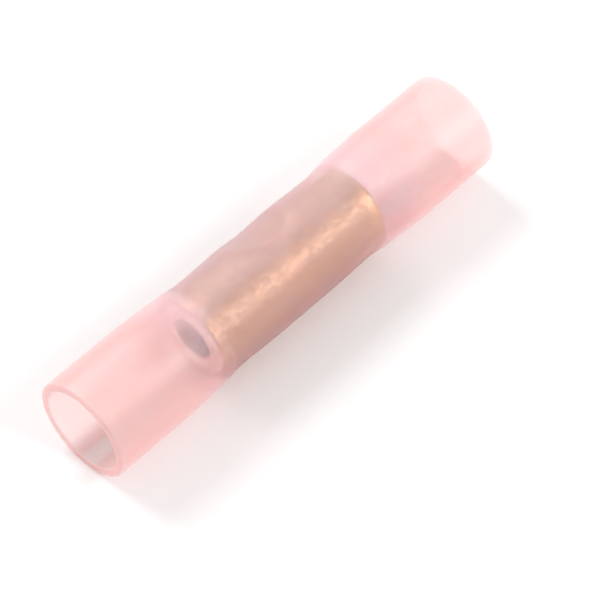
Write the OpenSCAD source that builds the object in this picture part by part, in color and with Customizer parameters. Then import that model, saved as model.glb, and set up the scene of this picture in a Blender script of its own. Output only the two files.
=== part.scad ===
// Butt splice connector: a heat-shrink sleeve drawn down onto a crimp barrel with a pressed wire stop.
// It lies on Z = 0 on its two mouths, with its axis along X and the wire stop in the middle.

/* [Sleeve] */
// Length of the sleeve from mouth to mouth
sleeve_length = 28.6; // [24:0.1:40]
// Outside diameter of the two open mouths
mouth_od = 6.0; // [5.8:0.05:8]
// Wall of the sleeve at the mouths
mouth_wall = 0.55; // [0.4:0.01:0.65]
// Wall of the sleeve where it grips the middle of the barrel
grip_wall = 0.51; // [0.4:0.01:0.65]
// Depth of the shallow neck near each end of the barrel, below the gripped middle
neck_depth = 0.06; // [0.02:0.01:0.15]
// Distance of each neck from the barrel's end
neck_inset = 1.45; // [0.6:0.05:2.2]
// Half length of the plain middle between the two necks
middle_half = 1.9; // [1:0.1:2.8]
// Length of the steep rise from each neck to its shoulder
rise_length = 2.0; // [1.2:0.1:3]
// Length of the gentle flare from each barrel end to the straight mouth
flare_length = 3.0; // [2:0.1:4.5]
// Part of the mouth's radius that the gentle flare adds
flare_rise = 0.09; // [0.03:0.01:0.15]
// Length at each barrel end that the sleeve has lifted off
lift_length = 0.5; // [0.2:0.05:1]
// Radius of the rounded edges of the mouths
lip_round = 0.14; // [0.06:0.01:0.18]
// Depth of the small flat that the soft sleeve takes under each mouth where it lies
rest_flat = 0.04; // [0.03:0.01:0.08]

/* [Crimp barrel] */
// Length of the barrel
barrel_length = 12.7; // [10:0.1:16]
// Outside diameter of the barrel
barrel_od = 4.5; // [4:0.05:4.8]
// Diameter of the wire bore
barrel_bore = 2.5; // [1.8:0.05:2.9]
// Radius of the rounded outer edges of the barrel
rim_round = 0.3; // [0.1:0.05:0.4]
// Size of the bevel at each bore entry
entry_bevel = 0.2; // [0.1:0.05:0.35]

/* [Wire stop] */
// Depth that the stop is pressed in
stop_depth = 0.5; // [0.2:0.05:0.7]
// Radius of the hollow that the stop leaves in the barrel
stop_radius = 4.7; // [3.5:0.1:6]
// Angle of the stop round the axis, from level up towards the top
stop_angle = 55; // [0:5:180]
// How far the pressing draws the bore in all round
stop_draw = 0.06; // [0.02:0.01:0.12]
// Length beyond the stop over which the bore opens to its full size again
draw_run = 0.3; // [0.1:0.05:0.6]

/* [Fit] */
// Gap between the sleeve and the barrel that it grips
seat_gap = 0.02; // [0.01:0.01:0.05]

/* [Hidden] */
$fn = 96;
curve_steps = 40;
draw_steps = 12;
arc_steps = 6;
mouth_r = mouth_od / 2;
mouth_bore_r = mouth_r - mouth_wall;
shoulder_r = mouth_r - flare_rise;
axis_height = mouth_r - rest_flat;
barrel_r = barrel_od / 2;
bore_r = barrel_bore / 2;
barrel_wall = barrel_r - bore_r;
seat_r = barrel_r + seat_gap;
grip_r = seat_r + grip_wall;
neck_r = grip_r - neck_depth;
sleeve_end = sleeve_length / 2;
barrel_end = barrel_length / 2;
neck_x = barrel_end - neck_inset;
lift_x = barrel_end - lift_length;
flare_end = barrel_end + flare_length;
blade_height = barrel_r - stop_depth + stop_radius;
// Distance from the middle at which the stop's bulge meets the wall of the bore
stop_half = sqrt(pow(stop_radius + barrel_wall, 2) - pow(blade_height - bore_r, 2));
socket_floor = stop_half + draw_run;

// A run from 0 to 1 that starts and ends level
function ease(t) = let (c = max(0, min(1, t))) c * c * (3 - 2 * c);

// Outside radius of the sleeve at distance x from the middle
function outer_r(x) = neck_r
    + neck_depth * (1 - ease((x - middle_half) / (neck_x - middle_half)))
    + (shoulder_r - neck_r) * ease((x - neck_x) / rise_length)
    + flare_rise * ease((x - barrel_end) / flare_length);

// Inside radius of the sleeve at distance x from the middle
function inner_r(x) = seat_r + (mouth_bore_r - seat_r) * ease((x - lift_x) / (flare_end - lift_x));

// Radius of the wire bore at distance x from the middle
function wire_r(x) = bore_r - stop_draw * ease(1 - x / socket_floor);

// Distances from a to b in equal steps
function spaced(a, b, steps) = [for (i = [0:steps]) a + (b - a) * i / steps];

// Points [radius, x] of a quarter round of radius r about the centre c, from angle a onwards
function quarter(c, r, a) = [for (t = spaced(a, a + 90, arc_steps)) c + r * [cos(t), sin(t)]];

// A half profile, then its mirror image beyond the middle, as one closed outline
function both_ends(half) = concat(half, [for (i = [len(half) - 1:-1:0])
    if (half[i][1] > 0) [half[i][0], -half[i][1]]]);

// Lays a shape that stands on Z along X, at the height where the mouths rest on Z = 0
module on_axis() {
    translate([0, 0, axis_height])
        rotate([0, 90, 0])
            children();
}

// The round blade that presses the stop, grown by the walls between it and the barrel's outside
module stop_blade(grown) {
    translate([0, 0, axis_height])
        rotate([stop_angle - 90, 0, 0])
            translate([0, 0, blade_height])
                rotate([90, 0, 0])
                    cylinder(r = stop_radius + grown, h = 2 * mouth_od, center = true);
}

// What the blade pushes in from a wall, out to the radius core_r inside that wall
module stop_bulge(core_r, grown) {
    intersection() {
        on_axis()
            cylinder(r = core_r, h = 2 * neck_x, center = true);
        stop_blade(grown);
    }
}

// The drawn-down tube with rounded mouths
module sleeve_tube() {
    outer_lip = [mouth_r - lip_round, sleeve_end - lip_round];
    inner_lip = [mouth_bore_r + lip_round, sleeve_end - lip_round];
    half = concat(
        [for (x = spaced(middle_half, flare_end, curve_steps)) [outer_r(x), x]],
        quarter(outer_lip, lip_round, 0),
        quarter(inner_lip, lip_round, 90),
        [for (x = spaced(flare_end, lift_x, curve_steps)) [inner_r(x), x]]
    );
    on_axis()
        rotate_extrude()
            polygon(both_ends(half));
}

// The plain tube with rounded rims, bevelled entries and the bore drawn in at the stop
module barrel_tube() {
    rim = [barrel_r - rim_round, barrel_end - rim_round];
    half = concat(
        quarter(rim, rim_round, 0),
        [[bore_r + entry_bevel, barrel_end], [bore_r, barrel_end - entry_bevel]],
        [for (x = spaced(socket_floor, 0, draw_steps)) [wire_r(x), x]]
    );
    on_axis()
        rotate_extrude()
            polygon(both_ends(half));
}

// All that is below the surface that the sleeve lies on
module below_rest() {
    translate([0, 0, -mouth_r])
        cube([2 * sleeve_length, 2 * mouth_od, mouth_od], center = true);
}

module sleeve() {
    color([0.95, 0.72, 0.72, 0.6])
        difference() {
            union() {
                sleeve_tube();
                stop_bulge(seat_r + grip_wall / 2, -seat_gap);
            }
            stop_blade(-seat_gap - grip_wall);
            below_rest();
        }
}

module crimp_barrel() {
    color([0.78, 0.6, 0.36])
        difference() {
            union() {
                barrel_tube();
                stop_bulge(bore_r + barrel_wall / 2, barrel_wall);
            }
            stop_blade(0);
        }
}

sleeve();
crimp_barrel();
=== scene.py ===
import math

import bmesh
import bpy
from mathutils import Matrix, Vector, noise


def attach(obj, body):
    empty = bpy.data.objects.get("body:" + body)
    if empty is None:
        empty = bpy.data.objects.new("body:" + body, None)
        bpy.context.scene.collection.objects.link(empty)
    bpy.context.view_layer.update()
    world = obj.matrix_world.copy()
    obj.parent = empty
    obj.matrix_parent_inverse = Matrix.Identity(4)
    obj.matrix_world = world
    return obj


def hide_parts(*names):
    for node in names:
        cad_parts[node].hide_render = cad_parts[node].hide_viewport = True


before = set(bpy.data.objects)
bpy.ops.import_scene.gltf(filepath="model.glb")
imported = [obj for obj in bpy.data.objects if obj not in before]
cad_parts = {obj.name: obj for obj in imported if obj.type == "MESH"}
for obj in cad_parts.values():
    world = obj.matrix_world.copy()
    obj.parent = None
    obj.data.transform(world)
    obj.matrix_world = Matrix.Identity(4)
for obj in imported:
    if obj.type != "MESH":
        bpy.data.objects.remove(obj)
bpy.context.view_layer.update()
mm = 0.001
axisHeight = 2.96  # of the connector above the floor, in mm


def linearColor(hexCode):
    parts = [int(hexCode[i:i + 2], 16) / 255 for i in (1, 3, 5)]
    return tuple(c / 12.92 if c <= 0.04045 else ((c + 0.055) / 1.055) ** 2.4 for c in parts) + (1.0,)


def addNode(tree, kind, links=None, **settings):
    made = tree.nodes.new(kind)
    for name, value in settings.items():
        if hasattr(made, name):
            setattr(made, name, value)
        else:
            made.inputs[name.replace("_", " ")].default_value = value
    for name, source in (links or {}).items():
        tree.links.new(source, made.inputs[name])
    return made


def newMaterial(name):
    made = bpy.data.materials.new(name)
    made.use_nodes = True
    made.node_tree.nodes.clear()
    return made, made.node_tree


# blends two numbers or two colours, each a value, a hex code or another node's output
def blend(tree, factor, low, high):
    colors = isinstance(low, str) or isinstance(high, str)
    made = addNode(tree, "ShaderNodeMix", {"Factor": factor}, data_type="RGBA" if colors else "FLOAT")
    first = 6 if colors else 2  # the Mix node keeps its sockets for each kind of data in one list
    for slot, value in ((first, low), (first + 1, high)):
        if isinstance(value, str):
            made.inputs[slot].default_value = linearColor(value)
        elif isinstance(value, float):
            made.inputs[slot].default_value = value
        else:
            tree.links.new(value, made.inputs[slot])
    return made.outputs[2 if colors else 0]


def remap(tree, source, low, high, **span):
    made = addNode(tree, "ShaderNodeMapRange", {"Value": source}, To_Min=low, To_Max=high, **span)
    return made.outputs["Result"]


# a noise pattern whose features are about sizeMm across, drawn out along X by a stretch below 1
def pattern(tree, sizeMm, stretch=1.0, **settings):
    place = addNode(tree, "ShaderNodeTexCoord").outputs["Object"]
    if stretch != 1.0:
        place = addNode(tree, "ShaderNodeMapping", {"Vector": place}, Scale=(stretch, 1, 1)).outputs["Vector"]
    made = addNode(tree, "ShaderNodeTexNoise", {"Vector": place}, Scale=1 / (sizeMm * mm), **settings)
    return made.outputs["Fac"]


def raised(tree, height, depthMm, strength, under=None):
    links = {"Height": height}
    if under is not None:
        links["Normal"] = under
    return addNode(tree, "ShaderNodeBump", links, Strength=strength, Distance=depthMm * mm).outputs["Normal"]


def finishMaterial(tree, shader, volume=None):
    links = {"Surface": shader.outputs["BSDF"]}
    if volume is not None:
        links["Volume"] = volume.outputs["Volume"]
    addNode(tree, "ShaderNodeOutputMaterial", links)


def ease(t):
    t = min(1.0, max(0.0, t))
    return t * t * (3 - 2 * t)


def spaced(a, b, steps):
    return [a + (b - a) * i / steps for i in range(steps + 1)]


def quarterRound(x, r, size, start, steps=6):
    turns = [math.radians(a) for a in spaced(start, start + 90, steps)]
    return [(x + size * math.sin(a), r + size * math.cos(a)) for a in turns]


# spins a closed outline of (x, radius) points in mm about the connector's axis
def latheMesh(name, outline, steps, press):
    bm = bmesh.new()
    ring = [bm.verts.new((x, 0, r)) for x, r in outline]
    edges = [bm.edges.new((a, b)) for a, b in zip(ring, ring[1:] + ring[:1])]
    bmesh.ops.spin(bm, geom=ring + edges, cent=(0, 0, 0), axis=(1, 0, 0),
                   angle=math.tau, steps=steps, use_merge=True)
    bmesh.ops.remove_doubles(bm, verts=bm.verts, dist=1e-5)
    press(bm)
    bmesh.ops.recalc_face_normals(bm, faces=bm.faces)
    bmesh.ops.translate(bm, verts=bm.verts, vec=(0, 0, axisHeight))
    for v in bm.verts:
        v.co.z = max(v.co.z, 0.0)  # the slight flat that it lies on
    bmesh.ops.scale(bm, verts=bm.verts, vec=(mm, mm, mm))
    for face in bm.faces:
        face.smooth = True
    mesh = bpy.data.meshes.new(name)
    bm.to_mesh(mesh)
    bm.free()
    made = bpy.data.objects.new(name, mesh)
    bpy.context.collection.objects.link(made)
    return made


barrelShape = {
    "halfLength": 6.35,
    "radius": 2.25,
    "boreRadius": 1.25,
    "rimRound": 0.3,
    "entryBevel": 0.2,
    "outsideDense": 2.6,  # the outline has close points this far out, for the stop
    "boreDense": 2.8,
    "turnSteps": 128,
}

# the wire stop: a round blade pressed in from the upper far side
wireStop = {
    "angle": 55,  # degrees above level, on the +Y side
    "depth": 0.5,
    "radius": 4.7,  # of the hollow left in the barrel
    "edge": 0.06,  # softness of the hollow's edge
}


# pushes the points of one wall down to the blade's surface, with a rounded edge
def pressStop(points, radius, soft):
    turn = math.radians(wireStop["angle"])
    toStop = Vector((0, math.cos(turn), math.sin(turn)))
    height = barrelShape["radius"] - wireStop["depth"] + wireStop["radius"]
    for v in points:
        if abs(v.co.x) > radius * 0.9:  # well clear of the blade
            continue
        over = v.co.dot(toStop) - (height - math.sqrt(radius ** 2 - v.co.x ** 2))
        if over > soft:
            v.co -= toStop * over
        elif over > -soft:
            v.co -= toStop * (over + soft) ** 2 / (4 * soft)


# sorts a tube's points into those of its outer and of its inner wall
def splitWalls(bm, midWall):
    outer = [v for v in bm.verts if math.hypot(v.co.y, v.co.z) > midWall]
    inner = [v for v in bm.verts if math.hypot(v.co.y, v.co.z) <= midWall]
    return outer, inner


print("stage: sleeve")
sleeveShape = {
    "halfLength": 14.3,
    "mouthRadius": 3.0,
    "mouthWall": 0.55,
    "gripRadius": 2.78,  # outside, over the middle of the barrel
    "seatRadius": 2.24,  # inside, bedded on the barrel
    "bedding": 0.01,  # how far the sleeve sinks into the barrel, so that no air shows between them
    "neckDepth": 0.06,
    "neckAt": 4.9,
    "middleHalf": 1.9,
    "riseLength": 2.0,
    "flareFrom": 6.35,
    "flareLength": 3.0,
    "flareRise": 0.09,
    "liftAt": 5.85,  # the bore leaves the barrel here
    "lipRound": 0.14,
    "dimpleEdge": 0.12,  # softer than the hollow in the barrel
    "dense": 2.4,  # the outline has close points this far out, for the dimple
    "turnSteps": 160,
}


def sleeveOutside(x):
    s = sleeveShape
    x = abs(x)
    neck = s["gripRadius"] - s["neckDepth"]
    crown = s["neckDepth"] * (1 - ease((x - s["middleHalf"]) / (s["neckAt"] - s["middleHalf"])))
    rise = (s["mouthRadius"] - s["flareRise"] - neck) * ease((x - s["neckAt"]) / s["riseLength"])
    return neck + crown + rise + s["flareRise"] * ease((x - s["flareFrom"]) / s["flareLength"])


def sleeveInside(x):
    s = sleeveShape
    mouth = s["mouthRadius"] - s["mouthWall"]
    run = s["flareFrom"] + s["flareLength"] - s["liftAt"]
    return s["seatRadius"] + (mouth - s["seatRadius"]) * ease((abs(x) - s["liftAt"]) / run)


def makeSleeve():
    s = sleeveShape
    lipAt = s["halfLength"] - s["lipRound"]
    flareEnd = s["flareFrom"] + s["flareLength"]
    bore = s["mouthRadius"] - s["mouthWall"]
    outside = spaced(0.0, s["dense"], 20)[1:] + spaced(s["dense"], flareEnd, 42)[1:]
    inside = spaced(flareEnd, s["liftAt"], 30) + spaced(s["dense"], 0.0, 20)[:-1]
    half = [(x, sleeveOutside(x)) for x in outside]
    half += quarterRound(lipAt, s["mouthRadius"] - s["lipRound"], s["lipRound"], 0)
    half += quarterRound(lipAt, bore + s["lipRound"], s["lipRound"], 90)
    half += [(x, sleeveInside(x)) for x in inside]
    outline = [(0.0, sleeveOutside(0))] + half + [(0.0, sleeveInside(0))]
    outline += [(-x, r) for x, r in reversed(half)]

    def press(bm):
        outer, inner = splitWalls(bm, (s["gripRadius"] + s["seatRadius"]) / 2)
        pressStop(outer, wireStop["radius"] - s["gripRadius"] + barrelShape["radius"], s["dimpleEdge"])
        pressStop(inner, wireStop["radius"] + s["bedding"], wireStop["edge"])

    return latheMesh("heatShrinkSleeve", outline, s["turnSteps"], press)


sleeve = makeSleeve()

print("stage: crimp barrel")


def makeBarrel():
    b = barrelShape
    rimAt = b["halfLength"] - b["rimRound"]
    bore = b["boreRadius"]
    half = [(x, b["radius"]) for x in spaced(0.0, b["outsideDense"], 22)[1:]]
    half += quarterRound(rimAt, b["radius"] - b["rimRound"], b["rimRound"], 0)
    half += [(b["halfLength"], bore + b["entryBevel"]), (b["halfLength"] - b["entryBevel"], bore)]
    half += [(x, bore) for x in spaced(b["boreDense"], 0.0, 22)[:-1]]
    outline = [(0.0, b["radius"])] + half + [(0.0, bore)] + [(-x, r) for x, r in reversed(half)]

    def press(bm):
        outer, inner = splitWalls(bm, (b["radius"] + bore) / 2)
        pressStop(outer, wireStop["radius"], wireStop["edge"])
        pressStop(inner, wireStop["radius"] + b["radius"] - bore, wireStop["edge"])

    return latheMesh("crimpBarrel", outline, b["turnSteps"], press)


barrel = makeBarrel()

print("stage: materials")
# polyolefin heat-shrink tube, extruded and expanded: thin, milky and luminous, pinker along the
# wall, with a satin, faintly streaked skin, and clear where it is bedded on the barrel
sleeveLook = {
    "skin": "#F2CAC7",
    "skinDeep": "#EEC0BE",
    "skinInsidePaintedLight": "#FADEDA",  # painted light: paler in the bore, standing in for the light that reaches it through the mouth
    "skinLipPaintedShade": "#EEB6B4",  # painted shade: deeper pink on the cut lip, standing in for light dimmed along the wall
    "skinOverPaintedShade": "#F0CACE",  # painted shade: darker over the barrel, standing in for the light that the barrel takes from the wall
    "roughness": (0.4, 0.5),
    "veil": (0.36, 0.46),  # share of the light that the wall scatters, the rest goes straight through
    "veilOver": 0.75,  # the same where the sleeve stands off the top of the barrel
    "veilFree": 0.66,  # on the outside of its free ends
    "veilInside": 0.28,  # on the inside of its free ends
    "veilLip": 0.75,
    "gripShare": 0.68,  # of the outer skin where the sleeve is bedded, which bends the light onto the barrel
    "hazeMm": (1.2, 0.8, 0.8),  # how far each colour spreads in the wall
    "ior": 1.58,  # above the plastic's own, since the veil thins the gloss too
    "tint": (0.95, 0.3, 0.28),  # share of each colour that the plastic lets through
    "tintDensity": 220.0,  # per metre of plastic
    "streakMm": 0.25,
    "streakStretch": 0.06,
    "streakDepth": 0.02,
    "streakStrength": 0.12,
    "cloudMm": 2.5,
    "cloudSpan": (0.3, 0.7),  # the part of the noise that the veil uses
}

# where the sleeve's look changes, in mm along X and about its axis
sleeveZones = {
    "standOffTurn": 60,  # degrees from straight up towards +Y, since it clings only along the lower front
    "standOffFrom": -0.2,
    "standOffRun": 1.2,
    "patchMm": 1.25,
    "patchShare": 0.5,
    "freeFrom": 6.6,
    "freeRun": 3.0,
    "gripTo": 6.1,
    "gripRun": 0.5,
}


# marks where the sleeve stands off the barrel, is free of it or bedded on it, and its lips and bore
def markSleeve(mesh):
    s, zones = sleeveShape, sleeveZones
    marks = {"standOff": [], "free": [], "grip": [], "lip": [], "inside": []}
    turn = math.radians(zones["standOffTurn"])
    back = Vector((0, math.sin(turn), math.cos(turn)))
    for v in mesh.vertices:
        p = v.co / mm - Vector((0, 0, axisHeight))
        out = p.dot(back) + noise.noise(p / zones["patchMm"]) * zones["patchShare"]
        marks["standOff"].append(ease((out - zones["standOffFrom"]) / zones["standOffRun"]))
        marks["free"].append(ease((abs(p.x) - zones["freeFrom"]) / zones["freeRun"]))
        marks["grip"].append(ease((zones["gripTo"] - abs(p.x)) / zones["gripRun"]))
        marks["lip"].append(ease((abs(p.x) - s["halfLength"] + s["lipRound"]) / s["lipRound"]))
        marks["inside"].append(1.0 if v.normal.dot(Vector((0, p.y, p.z))) < 0 else 0.0)
    for name, values in marks.items():
        mesh.attributes.new(name, "FLOAT", "POINT").data.foreach_set("value", values)


# the wall scatters light where a ray enters it, and a ray that leaves it goes straight on
def makeSleeveMaterial():
    look = sleeveLook
    made, tree = newMaterial("heatShrinkPolyolefin")
    standOff, free, grip, lip, inside = (
        addNode(tree, "ShaderNodeAttribute", attribute_name=name).outputs["Fac"]
        for name in ("standOff", "free", "grip", "lip", "inside"))
    leaving = addNode(tree, "ShaderNodeNewGeometry").outputs["Backfacing"]
    streaks = pattern(tree, look["streakMm"], look["streakStretch"], Detail=3.0)
    clouds = pattern(tree, look["cloudMm"], Detail=4.0)
    skin = blend(tree, clouds, look["skin"], look["skinDeep"])
    # painted light: the inner wall of the bore is coloured paler, as if lit through the mouth
    skin = blend(tree, inside, skin, look["skinInsidePaintedLight"])
    # painted shade: the sleeve over the barrel is coloured darker than its free ends
    skin = blend(tree, free, look["skinOverPaintedShade"], skin)
    # painted shade: the cut lip is coloured a deeper pink
    skin = blend(tree, lip, skin, look["skinLipPaintedShade"])
    thin = remap(tree, clouds, *look["veil"], From_Min=look["cloudSpan"][0], From_Max=look["cloudSpan"][1])
    over = blend(tree, standOff, thin, look["veilOver"])
    ends = remap(tree, inside, look["veilFree"], look["veilInside"])
    veil = blend(tree, lip, blend(tree, free, over, ends), look["veilLip"])
    bedded = remap(tree, inside, look["gripShare"], 0.0)
    alpha = blend(tree, grip, blend(tree, leaving, veil, 0.0), bedded)
    through = blend(tree, leaving, remap(tree, over, 1.0, 0.0), 1.0)
    glassy = addNode(tree, "ShaderNodeMath", {0: grip, 1: through}, operation="MULTIPLY")
    shader = addNode(tree, "ShaderNodeBsdfPrincipled", {
        "Base Color": skin,
        "Roughness": remap(tree, clouds, *look["roughness"]),
        "Normal": raised(tree, streaks, look["streakDepth"], look["streakStrength"]),
        "Alpha": alpha,
        "Transmission Weight": glassy.outputs[0],
    }, IOR=look["ior"], Specular_IOR_Level=1.0, Subsurface_Weight=1.0, Subsurface_Radius=look["hazeMm"],
        Subsurface_Scale=mm)
    plastic = addNode(tree, "ShaderNodeVolumeAbsorption", Color=(*look["tint"], 1),
                      Density=look["tintDensity"])
    finishMaterial(tree, shader, plastic)
    return made


# drawn brass tube, cut and tumbled: fine lines along the length and a mottled, slightly dull gloss
barrelLook = {
    "metal": "#F0D4A2",
    "tarnish": "#CFAB7C",
    "cut": "#F4E6DC",  # fresh metal on the cut ends, paler than the drawn outside
    "cutDull": "#E2CDBE",
    "roughness": (0.38, 0.58),
    "speckleMm": 0.24,
    "speckleSpan": (0.3, 0.7),  # the part of the noise that goes from bright to tarnished
    "grainDepth": 0.035,  # deeper grain darkens the metal
    "lineMm": 0.08,
    "lineStretch": 0.05,
    "lineDepth": 0.01,
    "lineStrength": 0.15,
    "dentMm": 0.9,  # of the soft dents from tumbling
    "dentDepth": 0.06,
    # painted shade: the bore's dark colour stands in for the shade deep inside it
    "bore": "#8A7C76",
    "boreRoughness": (0.5, 0.7),
    "boreSpotMm": 0.4,
    "boreMetallic": 0.8,
    "endFacing": 0.6,  # a face turned further than this along X belongs to a cut end
}


def makeBarrelMaterial(name, metal, tarnish):
    look = barrelLook
    made, tree = newMaterial(name)
    speckle = pattern(tree, look["speckleMm"], Detail=5.0, Roughness=0.6)
    lines = pattern(tree, look["lineMm"], look["lineStretch"], Detail=2.0)
    dents = pattern(tree, look["dentMm"], Detail=2.0)
    span = look["speckleSpan"]
    spots = remap(tree, speckle, 0.0, 1.0, From_Min=span[0], From_Max=span[1])
    worn = raised(tree, dents, look["dentDepth"], 1.0)
    grain = raised(tree, speckle, look["grainDepth"], 1.0, worn)
    shader = addNode(tree, "ShaderNodeBsdfPrincipled", {
        "Base Color": blend(tree, spots, metal, tarnish),
        "Roughness": remap(tree, spots, *look["roughness"]),
        "Normal": raised(tree, lines, look["lineDepth"], look["lineStrength"], grain),
    }, Metallic=1.0)
    finishMaterial(tree, shader)
    return made


# the barrel's bore: dull, with uneven roughness, and a dark colour that is painted shade for the little light
# that reaches deep inside it
def makeBoreMaterial():
    look = barrelLook
    made, tree = newMaterial("boreWithPaintedShade")
    stain = pattern(tree, look["boreSpotMm"], Detail=3.0)
    rough = remap(tree, stain, *look["boreRoughness"])
    shader = addNode(tree, "ShaderNodeBsdfPrincipled", {"Roughness": rough},
                     Base_Color=linearColor(look["bore"]), Metallic=look["boreMetallic"])
    finishMaterial(tree, shader)
    return made


def dressBarrel():
    look = barrelLook
    materials = barrel.data.materials
    materials.append(makeBarrelMaterial("drawnBrass", look["metal"], look["tarnish"]))
    materials.append(makeBoreMaterial())
    materials.append(makeBarrelMaterial("cutBrass", look["cut"], look["cutDull"]))
    for face in barrel.data.polygons:
        middle = face.center / mm
        if math.hypot(middle.y, middle.z - axisHeight) < barrelShape["boreRadius"] + 0.02:
            face.material_index = 1
        elif abs(face.normal.x) > look["endFacing"]:
            face.material_index = 2


markSleeve(sleeve.data)
sleeve.data.materials.append(makeSleeveMaterial())
dressBarrel()
for piece, node, slot in ((sleeve, "sleeve", "sleeve_plastic"), (barrel, "crimp_barrel", "barrel_metal")):
    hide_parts(node)
    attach(piece, "root")

print("stage: floor, light and camera")
studio = {
    "floor": "#FDFDFD",
    "floorRoughness": 0.9,
    "floorSize": 0.8,
    "worldStrength": 0.59,
    "keyPower": 1.82,
    "keySize": 0.3,
    "keyFrom": (-0.02, 0.42, 0.42),
    "frontPower": 1.35,
    "frontSize": 0.25,
    "frontFrom": (0.26, -0.39, 0.365),
    "aim": (0, 0, 0.003),
}


# matt white paper, smooth and even
def makeFloor():
    bm = bmesh.new()
    bmesh.ops.create_grid(bm, x_segments=2, y_segments=2, size=studio["floorSize"] / 2)
    mesh = bpy.data.meshes.new("paperFloor")
    bm.to_mesh(mesh)
    bm.free()
    made = bpy.data.objects.new("paperFloor", mesh)
    bpy.context.collection.objects.link(made)
    paper, tree = newMaterial("whitePaper")
    finishMaterial(tree, addNode(tree, "ShaderNodeBsdfPrincipled", Base_Color=linearColor(studio["floor"]),
                                 Roughness=studio["floorRoughness"]))
    mesh.materials.append(paper)


def addSoftbox(name, place, size, power):
    lamp = bpy.data.lights.new(name, "AREA")
    lamp.shape = "DISK"
    lamp.size = size
    lamp.energy = power
    made = bpy.data.objects.new(name, lamp)
    made.location = place
    made.rotation_euler = (Vector(studio["aim"]) - Vector(place)).to_track_quat("-Z", "Y").to_euler()
    bpy.context.collection.objects.link(made)


makeFloor()
addSoftbox("keySoftbox", studio["keyFrom"], studio["keySize"], studio["keyPower"])
addSoftbox("frontSoftbox", studio["frontFrom"], studio["frontSize"], studio["frontPower"])
world = bpy.data.worlds.new("studioRoom")
world.use_nodes = True
room = world.node_tree.nodes["Background"]
room.inputs["Color"].default_value = (1, 1, 1, 1)
room.inputs["Strength"].default_value = studio["worldStrength"]
bpy.context.scene.world = world

# the photo's long lens, looking down along the connector from its near end
view = {
    "right": (0.6866, -0.727, 0.0),
    "up": (0.5811, 0.5488, 0.601),
    "ahead": (0.4369, 0.4126, -0.7993),
    "offset": (-0.231, 0.263, 27.88),  # of the connector's middle, in mouth diameters
    "lens": 188.4,
    "sensor": 36.0,
    "clipStart": 0.01,
}
right, up, ahead = (Vector(view[k]).normalized() for k in ("right", "up", "ahead"))
diameter = 2 * sleeveShape["mouthRadius"] * mm
toMiddle = (right * view["offset"][0] + up * view["offset"][1] + ahead * view["offset"][2]) * diameter
middle = Vector((0, 0, axisHeight * mm))
camera = bpy.data.objects.new("camera", bpy.data.cameras.new("camera"))
camera.data.lens = view["lens"]
camera.data.sensor_width = view["sensor"]
camera.data.clip_start = view["clipStart"]
turned = Matrix((right, up, -ahead)).transposed().to_4x4()
camera.matrix_world = Matrix.Translation(middle - toMiddle) @ turned
bpy.context.collection.objects.link(camera)
bpy.context.scene.camera = camera
bpy.context.scene.view_settings.view_transform = "Standard"
